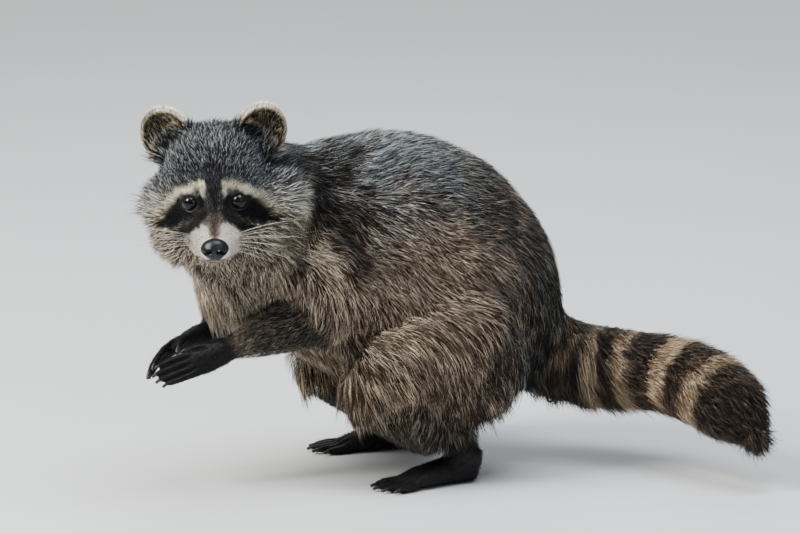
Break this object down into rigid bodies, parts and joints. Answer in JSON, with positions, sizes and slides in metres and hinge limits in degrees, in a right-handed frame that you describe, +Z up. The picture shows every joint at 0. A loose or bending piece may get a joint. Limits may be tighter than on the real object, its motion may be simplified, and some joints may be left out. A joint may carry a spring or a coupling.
{
  "type": "raccoon",
  "caption": "Life-size still raccoon in a hunched crouch on its hind feet, hands held together before the chest, head turned to its left, ringed tail trailing behind.",
  "frame": {"origin": "on the floor under the middle of the animal's bounding box", "axes": "+Z up, the trunk faces -Y and the tail trails towards +Y, the animal's left side is +X"},
  "size_m": [0.3016, 0.5326, 0.3426],
  "materials": {
    "coat_back": "dense grizzled fur, charcoal and brown with cream tips, in wet locks on the flanks and belly",
    "coat_face": "short fur with a black mask, pale brows, cheeks and muzzle sides, and pale ear rims",
    "coat_tail": "long bushy fur in dark and buff rings with a dark tip",
    "coat_limb": "short dark fur, almost black on the hands and feet",
    "nose_skin": "moist black pebbled skin",
    "eye": "wet very dark brown eye",
    "claw": "smooth dark horn, paler at the tip"
  },
  "bodies": {
    "root": {"claw_foot_left_1": "claw", "claw_foot_left_2": "claw", "claw_foot_left_3": "claw", "claw_foot_left_4": "claw", "claw_foot_left_5": "claw", "claw_foot_right_1": "claw", "claw_foot_right_2": "claw", "claw_foot_right_3": "claw", "claw_foot_right_4": "claw", "claw_foot_right_5": "claw", "claw_hand_left_1": "claw", "claw_hand_left_2": "claw", "claw_hand_left_3": "claw", "claw_hand_left_4": "claw", "claw_hand_left_5": "claw", "claw_hand_right_1": "claw", "claw_hand_right_2": "claw", "claw_hand_right_3": "claw", "claw_hand_right_4": "claw", "claw_hand_right_5": "claw", "ear_left": "coat_face", "ear_right": "coat_face", "eye_left": "eye", "eye_right": "eye", "foot_left": "coat_limb", "foot_right": "coat_limb", "forearm_left": "coat_limb", "forearm_right": "coat_limb", "hand_left": "coat_limb", "hand_right": "coat_limb", "head": "coat_face", "neck": "coat_back", "nose": "nose_skin", "shank_left": "coat_limb", "shank_right": "coat_limb", "tail_end": "coat_tail", "tail_middle": "coat_tail", "tail_root": "coat_tail", "thigh_left": "coat_back", "thigh_right": "coat_back", "trunk": "coat_back", "upper_arm_left": "coat_limb", "upper_arm_right": "coat_limb"}
  },
  "joints": []
}
